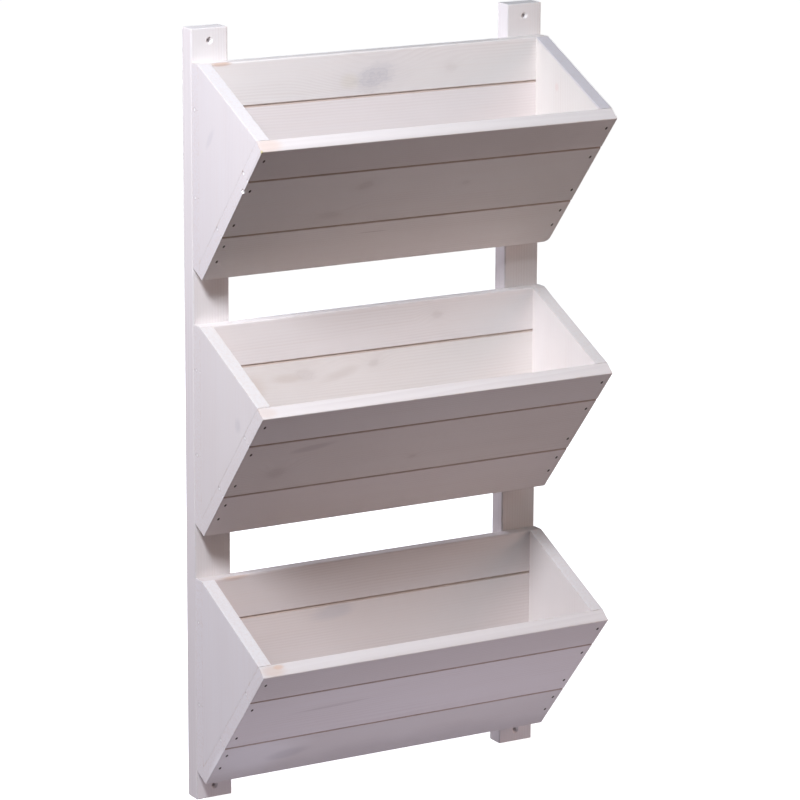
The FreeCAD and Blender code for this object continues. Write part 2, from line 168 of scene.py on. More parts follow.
class Recipe:
    """The node tree of one material."""

    def __init__(self, name: str) -> None:
        """Start a material with an empty tree and its surface shader.

        Args:
            name: Name of the material.
        """
        self.material = bpy.data.materials.new(name)
        self.material.use_nodes = True
        self.tree = self.material.node_tree
        self.tree.nodes.clear()
        self.surface = self.node("ShaderNodeBsdfPrincipled")
        self.node("ShaderNodeOutputMaterial", inputs={"Surface": self.surface.outputs[0]})

    def node(
        self,
        kind: str,
        settings: Mapping[str, object] | None = None,
        inputs: Mapping[str | int, Input] | None = None,
    ) -> bpy.types.Node:
        """Add a node, set it up, then fill its sockets.

        Args:
            kind: Blender's type name of the node.
            settings: Attributes of the node, such as a Math node's operation.
            inputs: Values, terms or sockets for the inputs, by name or place.

        Returns:
            The new node.
        """
        made = self.tree.nodes.new(kind)
        for key, value in (settings or {}).items():
            setattr(made, key, value)
        for key, value in (inputs or {}).items():
            source = value.socket if isinstance(value, Term) else value
            if isinstance(source, bpy.types.NodeSocket):
                self.tree.links.new(source, made.inputs[key])
            else:
                made.inputs[key].default_value = source
        return made

    def maths(self, operation: str, *values: Term | float) -> Term:
        """One Math node.

        Args:
            operation: Blender's name of the operation.
            values: What the operation is done to.

        Returns:
            The result.
        """
        made = self.node("ShaderNodeMath", {"operation": operation}, dict(enumerate(values)))
        return Term(self, made.outputs[0])

    def step(self, value: Term, start: float, end: float, low: float, high: float) -> Term:
        """Smooth passage from one value to another.

        Args:
            value: What drives the passage.
            start: Value at which it begins.
            end: Value at which it is complete.
            low: Result before the start.
            high: Result after the end.

        Returns:
            The result.
        """
        made = self.node(
            "ShaderNodeMapRange",
            {"interpolation_type": "SMOOTHSTEP", "clamp": True},
            {"Value": value, "From Min": start, "From Max": end, "To Min": low, "To Max": high},
        )
        return Term(self, made.outputs[0])

    def point(self, x: Input, y: Input, z: Input) -> bpy.types.NodeSocket:
        """Put three numbers together into a point."""
        made = self.node("ShaderNodeCombineXYZ", inputs={0: x, 1: y, 2: z})
        return made.outputs[0]

    def noise(
        self, place: bpy.types.NodeSocket, scales: Point, drift: float, detail: float,
        roughness: float,
    ) -> Term:
        """Cloudy noise about 0.5.

        Args:
            place: Where the noise is read, in metres.
            scales: Clouds per metre in each of the three directions.
            drift: Shift that makes one piece differ from the next.
            detail: Number of finer layers.
            roughness: Weight of the finer layers.

        Returns:
            The noise, mostly 0.3 to 0.7.
        """
        stretched = self.node(
            "ShaderNodeMapping",
            {"vector_type": "POINT"},
            {
                "Vector": place, "Scale": scales,
                "Location": tuple(drift * share for share in DRIFT_WAY),
            },
        )
        made = self.node(
            "ShaderNodeTexNoise",
            {"noise_dimensions": "3D"},
            {
                "Vector": stretched.outputs[0], "Scale": 1.0, "Detail": detail,
                "Roughness": roughness,
            },
        )
        return Term(self, made.outputs[0])

    def distance(
        self, place: bpy.types.NodeSocket, centre: Point, radii: Point, slant: float = 0.0,
    ) -> Term:
        """Distance from a centre, in radii: 1 on the ellipsoid that has those radii.

        Args:
            place: The point.
            centre: Centre of the ellipsoid.
            radii: Its three radii.
            slant: Turn of the ellipsoid about the third direction, in degrees.

        Returns:
            The distance.
        """
        offset = self.node(
            "ShaderNodeMapping",
            {"vector_type": "TEXTURE"},
            {
                "Vector": place, "Location": centre, "Rotation": (0.0, 0.0, math.radians(slant)),
                "Scale": radii,
            },
        )
        made = self.node("ShaderNodeVectorMath", {"operation": "LENGTH"}, {0: offset.outputs[0]})
        return Term(self, made.outputs["Value"])

    def blend(self, share: Term | float, first: Input, second: Input) -> bpy.types.NodeSocket:
        """Mix two colours.

        Args:
            share: Share of the second colour.
            first: Colour where the share is 0.
            second: Colour where the share is 1.

        Returns:
            The mixed colour.
        """
        made = self.node(
            "ShaderNodeMix",
            {"data_type": "RGBA", "clamp_factor": True},
            {0: share, 6: first, 7: second},
        )
        return made.outputs[2]

    def relief(self, height: Term, depth: float) -> bpy.types.NodeSocket:
        """Surface direction of a fine relief.

        Args:
            height: Height of the relief, about 0 to 1.
            depth: Real height of one unit, in metres.

        Returns:
            The direction for a shader's Normal.
        """
        made = self.node(
            "ShaderNodeBump", inputs={"Strength": 1.0, "Distance": depth, "Height": height}
        )
        return made.outputs[0]


# ---- How a piece of wood lies, and what is on it ----

@dataclass(frozen=True)
class Lie:
    """Place of a wooden piece: its own directions along the grain, across it and into the wood."""

    origin: Point
    along: Point
    across: Point

    def own_place(self, recipe: Recipe) -> bpy.types.NodeSocket:
        """Turn the object's coordinates into the piece's own: along, across and into.

        Formula: own = M (p - origin), where the rows of M are the directions along, across and
        into.

        Args:
            recipe: The recipe that the nodes go into.

        Returns:
            The point in the piece's own directions.
        """
        rows = Matrix((self.along, self.across, Vector(self.along).cross(Vector(self.across))))
        shift = -(rows @ Vector(self.origin))
        place = recipe.node("ShaderNodeTexCoord").outputs["Object"]
        mapped = recipe.node(
            "ShaderNodeMapping",
            {"vector_type": "POINT"},
            {"Vector": place, "Location": tuple(shift), "Rotation": tuple(rows.to_euler("XYZ"))},
        )
        return mapped.outputs[0]


class FaceKind(Enum):
    """What was done to a face of a wooden piece."""

    PLANED = "planed along the grain"
    CROSS_CUT = "sawn across the grain"
    JOINT = "meets the next board"


@dataclass(frozen=True)
class Face:
    """Flat face of a piece: the points whose product with the outward direction is the reach."""

    outward: Point
    reach: float
    kind: FaceKind = FaceKind.PLANED


BROWN_KNOT = tone(150, 126, 116)
GREY_KNOT = tone(158, 158, 172)
RESIN = tone(190, 138, 98)
BARE_PINE = tone(226, 196, 176)
WHITE_GLAZE = tone(244, 241, 241)
FILLER = tone(255, 254, 252)
FILLER_SHADE = tone(168, 158, 158)


@dataclass(frozen=True)
class Knot:
    """Knot in a board: its place on the face, its half length and half width, and its look."""

    along: float
    across: float
    half_length: float
    half_width: float
    strength: float
    slant: float = 0.0
    colour: Colour = BROWN_KNOT


@dataclass(frozen=True)
class StainOrPaintedLight:
    """Soft patch of another colour, an ellipsoid about a point in the piece's own coordinates: a
    real stain or speck, or a patch of painted light or painted shade.
    """

    centre: Point
    radii: Point
    colour: Colour
    strength: float
    slant: float = 0.0


@dataclass(frozen=True)
class Marks:
    """Knots, stains, patches of painted light and shade, and glaze of one piece, and where the
    heart of its tree lay.
    """

    knots: tuple[Knot, ...] = ()
    stains_and_painted_light: tuple[StainOrPaintedLight, ...] = ()
    heart_across: float = -0.14
    heart_depth: float = 0.06
    # Glaze tone, partly the piece's own and partly painted light and shade: some pieces are
    # lighter or darker than the lamps alone make them.
    glaze: Colour = WHITE_GLAZE


@dataclass(frozen=True)
class Nailing:
    """Nails at both ends of a board: how far from its middle, across it and into it they are."""

    along: float
    across: tuple[float, ...]
    into: float


@dataclass(frozen=True)
class Timber:
    """One piece of pine: how it lies, what was done to it, and the marks on it."""

    lie: Lie
    faces: tuple[Face, ...]
    seed: float
    marks: Marks
    end_glaze: Colour
    nailing: Nailing | None = None


@dataclass(frozen=True)
class Grain:
    """What the wood and its glaze are like at a point: all terms run from about 0 to 1."""

    late: Term
    fibre: Term
    streak: Term
    cloud: Term


@dataclass(frozen=True)
class Making:
    """What sawing, joining and handling did at a point: all terms run from 0 to 1."""

    sawn: Term
    joint: Term
    wear: Term


@dataclass(frozen=True)
class GlazedPine:
    """Planed pine under a thin white glaze, through which the grain and the knots show.

    Scales are clouds per metre along the grain, across it and into the wood. A step is where a
    smooth passage begins and where it is complete.
    """

    early_wood: Colour = tone(224, 198, 174)
    late_wood: Colour = tone(196, 162, 136)
    end_grain: Colour = tone(222, 200, 184)
    bare_edge: Colour = tone(176, 150, 134)
    nail_mark: Colour = tone(66, 48, 40)
    cover: float = 0.87
    roughness: float = 0.56
    gloss: float = 0.34
    relief_depth: float = 0.00009

    ring_width: float = 0.0036
    slow_scales: Point = (1.6, 7.0, 7.0)
    slow_bend: float = 0.020
    waver_scales: Point = (11.0, 60.0, 60.0)
    waver_bend: float = 0.0026
    bold_scales: Point = (4.0, 26.0, 26.0)
    fibre_scales: Point = (22.0, 1300.0, 1300.0)
    streak_scales: Point = (5.0, 330.0, 330.0)
    cloud_scales: Point = (11.0, 24.0, 24.0)

    edge_step: Step = (0.0, 0.0030)
    sawn_step: Step = (0.0002, 0.0011)
    joint_step: Step = (0.0011, 0.0025)
    joint_bareness: float = 0.7
    wear_scales: Point = (90.0, 150.0, 150.0)

    knot_swell: float = 1.3
    knot_rings: float = 3.2
    knot_halo: float = 0.22
    ragged_scales: Point = (75.0, 170.0, 170.0)
    stain_and_light_step: Step = (0.35, 1.15)
    nail_radii: Point = (0.0018, 0.0029, 0.0040)
    nail_step: Step = (0.72, 1.12)
    nail_darkness: float = 0.92

    def grow(self, recipe: Recipe, place: bpy.types.NodeSocket, timber: Timber) -> Grain:
        """Grow the wood.

        Growth rings are the whole numbers of r / ring width, where r is the distance from the
        heart line, bent by slow noise along the grain and pushed aside by each knot.

        Args:
            recipe: The recipe that the nodes go into.
            place: The point in the piece's own directions.
            timber: The piece of pine.

        Returns:
            The grain.
        """
        marks = timber.marks
        drift = timber.seed * DRIFT_PER_SEED
        slow = recipe.noise(place, self.slow_scales, drift, 1.0, 0.4)
        waver = recipe.noise(place, self.waver_scales, drift, 1.0, 0.5)
        heart = (0.0, marks.heart_across, -marks.heart_depth)
        reach = recipe.distance(place, heart, (ENDLESS, 1.0, 1.0))
        reach = reach + slow * self.slow_bend + waver * self.waver_bend
        for knot in marks.knots:
            radii = (knot.half_length * self.knot_swell, knot.half_width, ENDLESS)
            span = recipe.distance(place, (knot.along, knot.across, 0.0), radii)
            reach = reach + span.fall(0.2, 3.2) * (knot.half_width * self.knot_swell)
        ring = (reach / self.ring_width).fraction()
        bold = recipe.noise(place, self.bold_scales, drift + 9.0, 1.0, 0.5).rise(0.38, 0.66)
        return Grain(
            late=ring.rise(0.15, 0.82) * ring.fall(0.88, 1.0) * (bold * 0.8 + 0.2),
            fibre=recipe.noise(place, self.fibre_scales, drift, 2.0, 0.62),
            streak=recipe.noise(place, self.streak_scales, drift + 3.0, 2.0, 0.55),
            cloud=recipe.noise(place, self.cloud_scales, drift + 5.0, 2.0, 0.5),
        )

    def make(self, recipe: Recipe, place: bpy.types.NodeSocket, timber: Timber) -> Making:
        """Saw the piece, ease its edges and let it be handled.

        Nearness to a face falls from 1 at the face to 0 at the end of the edge step inside it.
        Near an edge two of them meet, and the sum of the products of all pairs is half of the
        square of the sum less the squares.

        Args:
            recipe: The recipe that the nodes go into.
            place: The point in the piece's own directions.
            timber: The piece of pine.

        Returns:
            The marks of the making.
        """
        total: Term | float = 0.0
        squares: Term | float = 0.0
        sawn: Term | float = 0.0
        joint: Term | float = 0.0
        for face in timber.faces:
            product = recipe.node(
                "ShaderNodeVectorMath", {"operation": "DOT_PRODUCT"}, {0: place, 1: face.outward}
            )
            gap = face.reach - Term(recipe, product.outputs["Value"])
            near = gap.fall(*self.edge_step)
            total = near + total
            squares = near * near + squares
            if face.kind is FaceKind.CROSS_CUT:
                sawn = gap.fall(*self.sawn_step).at_least(sawn)
            if face.kind is FaceKind.JOINT:
                joint = gap.fall(*self.joint_step).at_least(joint)
        edge = (total * total - squares) * 0.5
        patchy = recipe.noise(place, self.wear_scales, timber.seed, 2.0, 0.6)
        return Making(
            sawn, joint * (1.0 - sawn), edge.rise(0.35, 1.1) * patchy.rise(0.50, 0.68)
        )

    def lay_knots(
        self, recipe: Recipe, place: bpy.types.NodeSocket, timber: Timber,
        colour: bpy.types.NodeSocket,
    ) -> bpy.types.NodeSocket:
        """Lay the knots over the colour of the wood: each a ringed core in a faint halo.

        Args:
            recipe: The recipe that the nodes go into.
            place: The point in the piece's own directions.
            timber: The piece of pine.
            colour: Colour of the glazed wood.

        Returns:
            The colour with the knots.
        """
        for knot in timber.marks.knots:
            ragged = recipe.noise(place, self.ragged_scales, timber.seed, 2.0, 0.6)
            radii = (knot.half_length, knot.half_width, ENDLESS)
            span = recipe.distance(place, (knot.along, knot.across, 0.0), radii, knot.slant)
            span = span + (ragged - 0.5) * 0.9
            rings = (span * self.knot_rings).fraction().rise(0.35, 0.95) * 0.3 + 0.7
            core = span.fall(0.35, 1.20) * rings
            share = (core + span.fall(0.8, 2.6) * self.knot_halo) * knot.strength
            colour = recipe.blend(share, colour, knot.colour)
        return colour

    def lay_stains_and_painted_light(
        self, recipe: Recipe, place: bpy.types.NodeSocket, timber: Timber, grain: Grain,
        colour: bpy.types.NodeSocket,
    ) -> bpy.types.NodeSocket:
        """Lay the stains and the patches of painted light and shade over the colour, with rims
        that the grain makes ragged.

        Args:
            recipe: The recipe that the nodes go into.
            place: The point in the piece's own directions.
            timber: The piece of pine.
            grain: Its grain.
            colour: Colour of the glazed wood.

        Returns:
            The colour with the stains and the painted light and shade.
        """
        rough = (grain.cloud - 0.5) * 0.9 + (grain.fibre - 0.5) * 0.5
        for stain_or_light in timber.marks.stains_and_painted_light:
            span = recipe.distance(place, stain_or_light.centre, stain_or_light.radii, stain_or_light.slant) + rough
            colour = recipe.blend(
                span.fall(*self.stain_and_light_step) * stain_or_light.strength, colour, stain_or_light.colour
            )
        return colour

    def lay_nails(
        self, recipe: Recipe, place: bpy.types.NodeSocket, nailing: Nailing, grain: Grain,
        colour: bpy.types.NodeSocket,
    ) -> bpy.types.NodeSocket:
        """Lay the dark marks of the nails over the colour, alike at both ends of the board.

        Args:
            recipe: The recipe that the nodes go into.
            place: The point in the piece's own directions.
            nailing: Where the nails are.
            grain: Grain of the wood.
            colour: Colour of the glazed wood.

        Returns:
            The colour with the nail marks.
        """
        split = recipe.node("ShaderNodeSeparateXYZ", inputs={0: place})
        along, across, into = (Term(recipe, split.outputs[i]) for i in range(3))
        folded = recipe.point(abs(along), across, into)
        for nail in nailing.across:
            centre = (nailing.along, nail, nailing.into)
            span = recipe.distance(folded, centre, self.nail_radii) + (grain.fibre - 0.5) * 0.3
            share = span.fall(*self.nail_step) * self.nail_darkness
            colour = recipe.blend(share, colour, self.nail_mark)
        return colour

    def dress(self, name: str, timber: Timber) -> bpy.types.Material:
        """Make the material of one piece.

        The glaze covers less where the late wood stands up, at worn edges, and in streaks and
        slow patches. On sawn ends it has a colour of its own and covers less too.

        Args:
            name: Name of the material.
            timber: The piece of pine.

        Returns:
            The material.
        """
        recipe = Recipe(name)
        place = timber.lie.own_place(recipe)
        grain = self.grow(recipe, place, timber)
        making = self.make(recipe, place, timber)
        thin = (
            grain.late * 0.026
            + grain.fibre.rise(0.50, 0.74) * 0.030
            + grain.streak.rise(0.46, 0.74) * 0.030
            + (0.5 - grain.cloud) * 0.08
            + making.sawn * grain.streak.rise(0.44, 0.62) * 0.10
            + making.wear * 0.26
        )
        wood = recipe.blend(grain.late, self.early_wood, self.late_wood)
        wood = recipe.blend(making.sawn, wood, self.end_grain)
        glaze = recipe.blend(making.sawn, timber.marks.glaze, timber.end_glaze)
        colour = recipe.blend(self.cover - thin, wood, glaze)
        colour = self.lay_knots(recipe, place, timber, colour)
        colour = self.lay_stains_and_painted_light(recipe, place, timber, grain, colour)
        if timber.nailing:
            colour = self.lay_nails(recipe, place, timber.nailing, grain, colour)
        colour = recipe.blend(making.joint * self.joint_bareness, colour, self.bare_edge)

        height = (
            grain.late * 0.30 + grain.fibre * 0.5 + grain.streak * 0.4 + grain.cloud * 0.6
            - making.wear * 0.3
        )
        shine = (
            self.roughness + (grain.fibre - 0.5) * 0.16 + making.sawn * 0.12
            + making.wear * 0.10 - grain.late * 0.04
        )
        surface = recipe.surface.inputs
        recipe.tree.links.new(colour, surface["Base Color"])
        recipe.tree.links.new(shine.socket, surface["Roughness"])
        recipe.tree.links.new(recipe.relief(height, self.relief_depth), surface["Normal"])
        surface["Specular IOR Level"].default_value = self.gloss
        return recipe.material


@dataclass(frozen=True)
class FastenerMetal:
    """Metal of the nails or screws, with fine scratches and dull patches."""

    bright: Colour
    dull: Colour
    metallic: float
    roughness: float
    patch_scales: Point = (900.0, 900.0, 900.0)
    scratch_scales: Point = (600.0, 600.0, 4200.0)
    relief_depth: float = 0.00006

    def dress(self, name: str) -> bpy.types.Material:
        """Make the metal's material.

        Args:
            name: Name of the material.

        Returns:
            The material.
        """
        recipe = Recipe(name)
        place = recipe.node("ShaderNodeTexCoord").outputs["Object"]
        patch = recipe.noise(place, self.patch_scales, 0.0, 4.0, 0.6)
        scratch = recipe.noise(place, self.scratch_scales, 0.0, 2.0, 0.5)
        dullness = patch.rise(0.42, 0.62)
        colour = recipe.blend(dullness, self.bright, self.dull)
        shine = self.roughness + dullness * 0.25 + (scratch - 0.5) * 0.2
        height = patch * 0.4 + scratch * 0.6
        surface = recipe.surface.inputs
        recipe.tree.links.new(colour, surface["Base Color"])
        recipe.tree.links.new(shine.socket, surface["Roughness"])
        recipe.tree.links.new(recipe.relief(height, self.relief_depth), surface["Normal"])
        surface["Metallic"].default_value = self.metallic
        return recipe.material


GLAZED_PINE = GlazedPine()
NAIL_STEEL = FastenerMetal(tone(96, 78, 66), tone(58, 44, 37), metallic=0.6, roughness=0.5)
SCREW_ZINC = FastenerMetal(tone(205, 205, 200), tone(150, 150, 146), metallic=1.0, roughness=0.28)


def clothe(node: str, material: bpy.types.Material) -> None:
    """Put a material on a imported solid.

    Args:
        node: Name of the solid.
        material: Its new material.
    """
    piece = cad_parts[node]
    if not piece.material_slots:
        raise ValueError(f"{node} has no material slot")
    for slot in piece.material_slots:
        slot.material = material
    LOG.info("%s: %s", node, material.name)


# ---- The planter's sub-assemblies ----

LEVELS = ("upper", "middle", "lower")


@dataclass(frozen=True)
class Row:
    """The three boards of a box's back or front, measured across from the upper edge down."""

    name: str
    first_number: int
    edges: tuple[float, float, float, float]
    nails: tuple[tuple[float, ...], ...]
    nail_into: float
    filler: tuple[float, ...]


@dataclass(frozen=True)
class Trough:
    """One open trough box: three back boards, three leaning front boards and two side panels."""

    name: str
    top: float
    seed: float
    marks: Mapping[str, Marks]
    half_width: float = HALF_WIDTH
    board: float = 0.018
    side_run: float = 0.152
    side_fall: float = 0.071
    depth: float = 0.249
    heel: float = 0.017
    back_joints: tuple[float, float] = (0.057, 0.167)
    front_joints: tuple[float, float] = (0.056, 0.162)
    nail_inset: float = 0.018
    nail_lower_inset: float = 0.023
    nail_lowest: float = 0.2095
    back_filler: tuple[float, ...] = (0.010,)
    front_filler: tuple[float, ...] = (0.0012, 0.0140)
    filler_size: float = 0.0023

    @property
    def lean(self) -> float:
        """Angle of the front from upright, in radians."""
        return math.atan2(self.side_run, self.depth - self.side_fall)

    @property
    def slope(self) -> float:
        """Fall of the side panels' tops, and of the bottom cut, per unit of depth."""
        return self.side_fall / self.side_run

    def world(self, depth: float, drop: float) -> Point:
        """Point on the middle plane, so deep before the battens and so far below the rim."""
        return (0.0, -(BATTEN_THICKNESS + depth), self.top - drop)

    def front_point(self, along: float, out: float) -> tuple[float, float]:
        """Depth and drop of a point that lies down the front's inner face and out from it."""
        return (
            self.board + self.side_run - along * math.sin(self.lean) + out * math.cos(self.lean),
            self.side_fall + along * math.cos(self.lean) + out * math.sin(self.lean),
        )

    def front_foot(self) -> float:
        """Length of the front's outer face from the rim down to the bottom cut."""
        depth, drop = self.front_point(0.0, self.board)
        cut = self.depth + self.heel + self.slope * (depth - self.board)
        return (cut - drop) / (math.cos(self.lean) + self.slope * math.sin(self.lean))

    def filler(self, faces: tuple[Face, ...], depths: tuple[float, ...]) -> tuple[StainOrPaintedLight, ...]:
        """Specks of white filler in the joints at a board's left end, each with its thin shade.

        Args:
            faces: Faces of the board.
            depths: How far into the wood each speck lies.

        Returns:
            The specks.
        """
        left = -self.half_width
        small, large = self.filler_size, self.filler_size * 1.5
        layers = ((large, FILLER_SHADE, 0.40), (small, FILLER, 0.95))
        return tuple(
            StainOrPaintedLight((left, face.outward[1] * face.reach, depth), (size,) * 3, colour, share)
            for face in faces if face.kind is FaceKind.JOINT
            for depth in depths
            for size, colour, share in layers
        )

    def glaze(
        self, piece: str, number: int, lie: Lie, faces: tuple[Face, ...],
        filler: tuple[float, ...] = (), nailing: Nailing | None = None,
    ) -> None:
        """Give one piece its own glazed pine.

        Args:
            piece: Name of the piece within the box.
            number: Number of the piece within the box.
            lie: Place of the piece.
            faces: Its faces.
            filler: How far into the wood the specks of filler in its joints lie.
            nailing: Where it is nailed, if it is.
        """
        marks = self.marks.get(piece, Marks())
        marks = replace(marks, stains_and_painted_light=marks.stains_and_painted_light + self.filler(faces, filler))
        seed = self.seed + SEED_PER_PIECE * number
        end_glaze = self.marks["left_side"].glaze
        node = f"{self.name}_box_{piece}"
        timber = Timber(lie, faces, seed, marks, end_glaze, nailing)
        clothe(node, GLAZED_PINE.dress(f"{node}_glazed_pine", timber))

    def glaze_row(self, row: Row, lies: Sequence[Lie]) -> None:
        """Glaze the three boards of the back or the front.

        Args:
            row: The boards' sizes.
            lies: Their places.
        """
        for number, (level, lie) in enumerate(zip(LEVELS, lies, strict=True)):
            top = FaceKind.PLANED if level == "upper" else FaceKind.JOINT
            foot = FaceKind.PLANED if level == "lower" else FaceKind.JOINT
            faces = (
                Face((1, 0, 0), self.half_width, FaceKind.CROSS_CUT),
                Face((-1, 0, 0), self.half_width, FaceKind.CROSS_CUT),
                Face((0, -1, 0), 0.0, top),
                Face((0, 1, 0), row.edges[number + 1] - row.edges[number], foot),
                Face((0, 0, -1), 0.0),
                Face((0, 0, 1), self.board),
            )
            self.glaze(
                f"{row.name}_{level}_board", row.first_number + number, lie, faces, row.filler,
                Nailing(self.half_width - self.board / 2, row.nails[number], row.nail_into),
            )

    def glaze_back(self) -> None:
        """Glaze the three back boards, whose face is the one inside the box."""
        first, second = self.back_joints
        row = Row(
            name="back",
            first_number=0,
            edges=(0.0, first, second, self.depth + self.heel),
            nails=(
                (self.nail_inset,),
                (self.nail_inset, second - first - self.nail_inset),
                (self.nail_inset,),
            ),
            nail_into=self.board,
            filler=self.back_filler,
        )
        self.glaze_row(row, [
            Lie(self.world(self.board, start), (1, 0, 0), (0, 0, -1)) for start in row.edges[:-1]
        ])

    def glaze_front(self) -> None:
        """Glaze the three leaning front boards, whose face is the outer one."""
        first, second = self.front_joints
        row = Row(
            name="front",
            first_number=3,
            edges=(0.0, first, second, self.front_foot()),
            nails=(
                (self.nail_inset,),
                (self.nail_inset, second - first - self.nail_lower_inset),
                (self.nail_inset, self.nail_lowest - second),
            ),
            nail_into=0.0,
            filler=self.front_filler,
        )
        down = (0.0, math.sin(self.lean), -math.cos(self.lean))
        self.glaze_row(row, [
            Lie(self.world(*self.front_point(start, self.board)), (1, 0, 0), down)
            for start in row.edges[:-1]
        ])

    def glaze_sides(self) -> None:
        """Glaze the two side panels, whose grain is upright and whose tops are sawn on a slope."""
        level = math.hypot(1.0, self.slope)
        cos_lean, sin_lean = math.cos(self.lean), math.sin(self.lean)
        for number, (side, sign) in enumerate((("left", -1.0), ("right", 1.0)), start=6):
            # Along the grain is up on the left panel and down on the right one.
            rise = -sign
            corner = (sign * self.half_width, -(BATTEN_THICKNESS + self.board), self.top)
            faces = (
                Face((0, 0, -1), 0.0),
                Face((0, 0, 1), self.board),
                Face((0, -1, 0), 0.0),
                Face((rise / level, self.slope / level, 0), 0.0, FaceKind.CROSS_CUT),
                Face((-rise * sin_lean, cos_lean, 0), self.depth * sin_lean),
            )
            self.glaze(f"{side}_side", number, Lie(corner, (0, 0, rise), (0, -1, 0)), faces)

    def plate(self, nail: bpy.types.Material, screw: bpy.types.Material) -> None:
        """Give the box's nails and screws their metal.

        Args:
            nail: The nails' material.
            screw: The screws' material.
        """
        clothe(f"{self.name}_box_front_nails", nail)
        clothe(f"{self.name}_box_back_nails", nail)
        clothe(f"{self.name}_box_screws", screw)


@dataclass(frozen=True)
class Batten:
    """Upright batten, flat against the wall."""

    name: str
    centre: float
    seed: float
    marks: Marks
    width: float = BATTEN_WIDTH
    thickness: float = BATTEN_THICKNESS
    half_length: float = HALF_LENGTH

    def glaze(self) -> None:
        """Glaze the batten, whose face is the front one."""
        lie = Lie((self.centre - self.width / 2, -self.thickness, 0.0), (0, 0, 1), (1, 0, 0))
        faces = (
            Face((1, 0, 0), self.half_length, FaceKind.CROSS_CUT),
            Face((-1, 0, 0), self.half_length, FaceKind.CROSS_CUT),
            Face((0, -1, 0), 0.0),
            Face((0, 1, 0), self.width),
            Face((0, 0, -1), 0.0),
            Face((0, 0, 1), self.thickness),
        )
        timber = Timber(lie, faces, self.seed, self.marks, self.marks.glaze)
        clothe(self.name, GLAZED_PINE.dress(f"{self.name}_glazed_pine", timber))


# ---- The studio ----

@dataclass(frozen=True)
class SoftBox:
    """Large soft lamp: a glowing rectangle that looks at a point."""

    name: str
    place: Point
    aim: Point
    width: float
    height: float
    power: float
    colour: tuple[float, float, float]

    def hang(self) -> None:
        """Put the lamp into the scene."""
        lamp = bpy.data.lights.new(self.name, "AREA")
        lamp.shape = "RECTANGLE"
        lamp.size = self.width
        lamp.size_y = self.height
        lamp.energy = self.power
        lamp.color = self.colour
        holder = bpy.data.objects.new(self.name, lamp)
        holder.visible_camera = False
        bpy.context.scene.collection.objects.link(holder)
        gaze = Vector(self.aim) - Vector(self.place)
        turn = gaze.to_track_quat("-Z", "Y").to_matrix().to_4x4()
        holder.matrix_world = Matrix.Translation(self.place) @ turn
        LOG.info("%s: %.0f W", self.name, self.power)


@dataclass(frozen=True)
class Viewpoint:
    """Where the photograph was taken from, and which way it looks."""

    place: Point = (-2.42159, -4.26103, 1.19851)
    turn: float = -30.22
    tilt: float = 13.79
    roll: float = 0.29
    lens: float = 175.21
    sensor: float = 36.0
    nearest: float = 0.1
    farthest: float = 200.0

    def set_up(self) -> None:
        """Add the camera and look through it."""
        turn, tilt, roll = (math.radians(a) for a in (self.turn, self.tilt, self.roll))
        ahead = Vector((
            -math.sin(turn) * math.cos(tilt), math.cos(turn) * math.cos(tilt), -math.sin(tilt)
        ))
        level = Vector((math.cos(turn), math.sin(turn), 0.0))
        upright = level.cross(ahead)
        right = math.cos(roll) * level + math.sin(roll) * upright
        up = -math.sin(roll) * level + math.cos(roll) * upright
        lens = bpy.data.cameras.new("viewpoint")
        lens.lens = self.lens
        lens.sensor_width = self.sensor
        lens.clip_start = self.nearest
        lens.clip_end = self.farthest
        holder = bpy.data.objects.new("viewpoint", lens)
        bpy.context.scene.collection.objects.link(holder)
        axes = Matrix((right, up, -ahead)).transposed().to_4x4()
        holder.matrix_world = Matrix.Translation(self.place) @ axes
        bpy.context.scene.camera = holder


